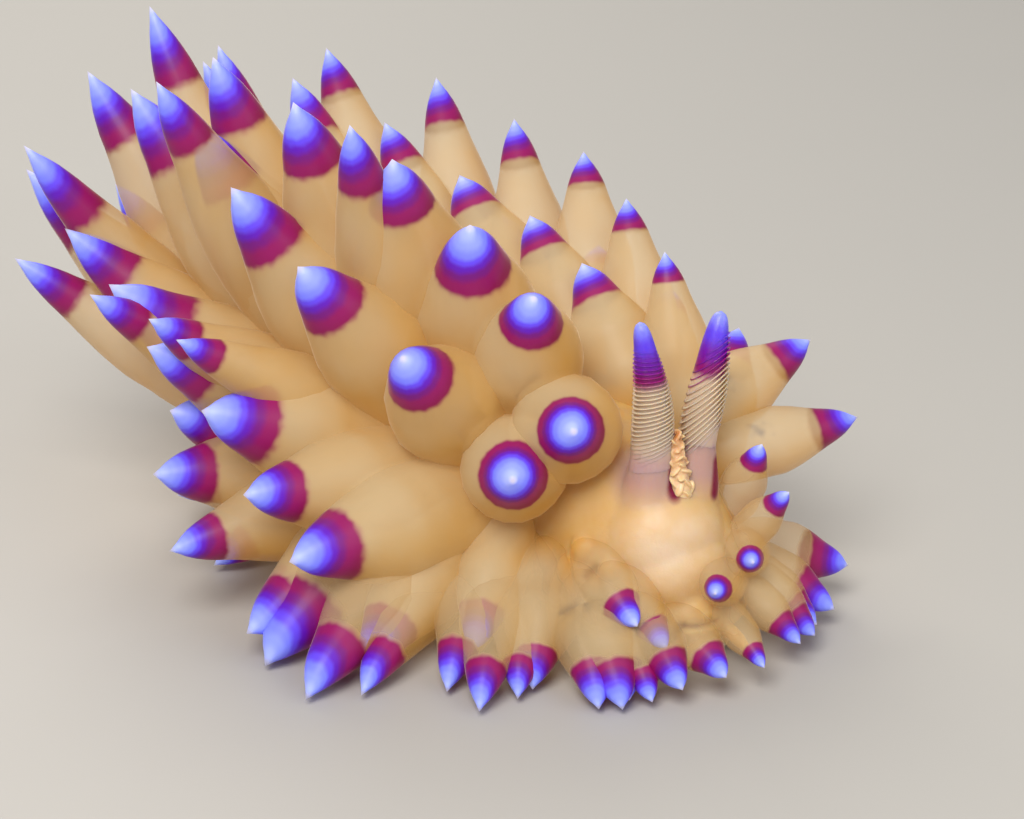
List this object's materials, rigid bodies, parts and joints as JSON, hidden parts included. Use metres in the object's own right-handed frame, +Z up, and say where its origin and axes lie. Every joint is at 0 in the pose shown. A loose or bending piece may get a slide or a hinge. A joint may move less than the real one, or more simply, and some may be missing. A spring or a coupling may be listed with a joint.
{
  "type": "nudibranch",
  "caption": "Still life-size sea slug of the janolus kind: a bent body on a flat foot, ringed with leaf-shaped violet-tipped gills, with a pair of ridged feelers and a ruffled knob on its head.",
  "frame": {"origin": "on the flat sole of the foot, near the middle of the body's length", "axes": "+Z up, -Y towards the snout, +Y towards the tail, -X to the animal's right, which is the inside of its bend"},
  "size_m": [0.0342, 0.0487, 0.0272],
  "materials": {
    "flesh": "wet, soft, slightly see-through amber flesh",
    "gills": "wet, see-through amber gills with crimson, violet and sky-blue tips",
    "feelers": "cream, finely ridged, violet towards the tip",
    "caruncle": "cream-orange, ruffled and moist",
    "sole": "pale, smooth and moist"
  },
  "bodies": {
    "root": {"foot": "sole", "tail": "sole", "head": "flesh", "back": "flesh", "mantle_right": "gills", "mantle_left": "gills", "rhinophore_right": "feelers", "rhinophore_left": "feelers", "caruncle": "caruncle", "oral_tentacle_right": "flesh", "oral_tentacle_left": "flesh"}
  },
  "joints": []
}
